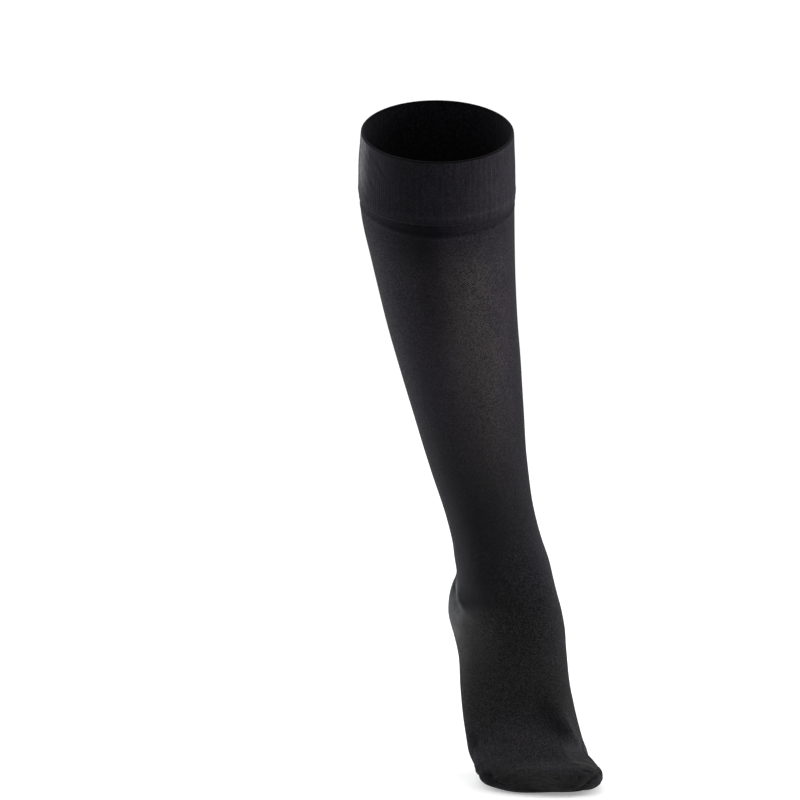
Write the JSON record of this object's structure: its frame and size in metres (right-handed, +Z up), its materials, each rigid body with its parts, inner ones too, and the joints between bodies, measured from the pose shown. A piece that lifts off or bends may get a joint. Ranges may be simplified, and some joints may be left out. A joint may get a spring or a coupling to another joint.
{
  "type": "compression stocking",
  "caption": "Knee-high elastic compression stocking in its worn form: graduated knit tube with a grip band, shaped heel pocket and closed toe, open at the top.",
  "frame": {"origin": "centre of the elastic top band at half its height, where the wearer's calf holds the stocking up", "axes": "+Z up the leg towards the open top, -Y the way the toes point, +X towards the big-toe side of a right foot"},
  "size_m": [0.177, 0.1838, 0.4899],
  "materials": {
    "band_knit": "ribbed elastic knit, near-black, soft dull sheen",
    "leg_knit": "fine plain elastic knit, near-black, a low sheen where stretched",
    "pocket_knit": "denser plain knit, black, matt"
  },
  "bodies": {
    "root": {"top_band": "band_knit", "leg": "leg_knit", "heel_pocket": "pocket_knit", "foot": "leg_knit", "toe_cap": "pocket_knit"}
  },
  "joints": []
}
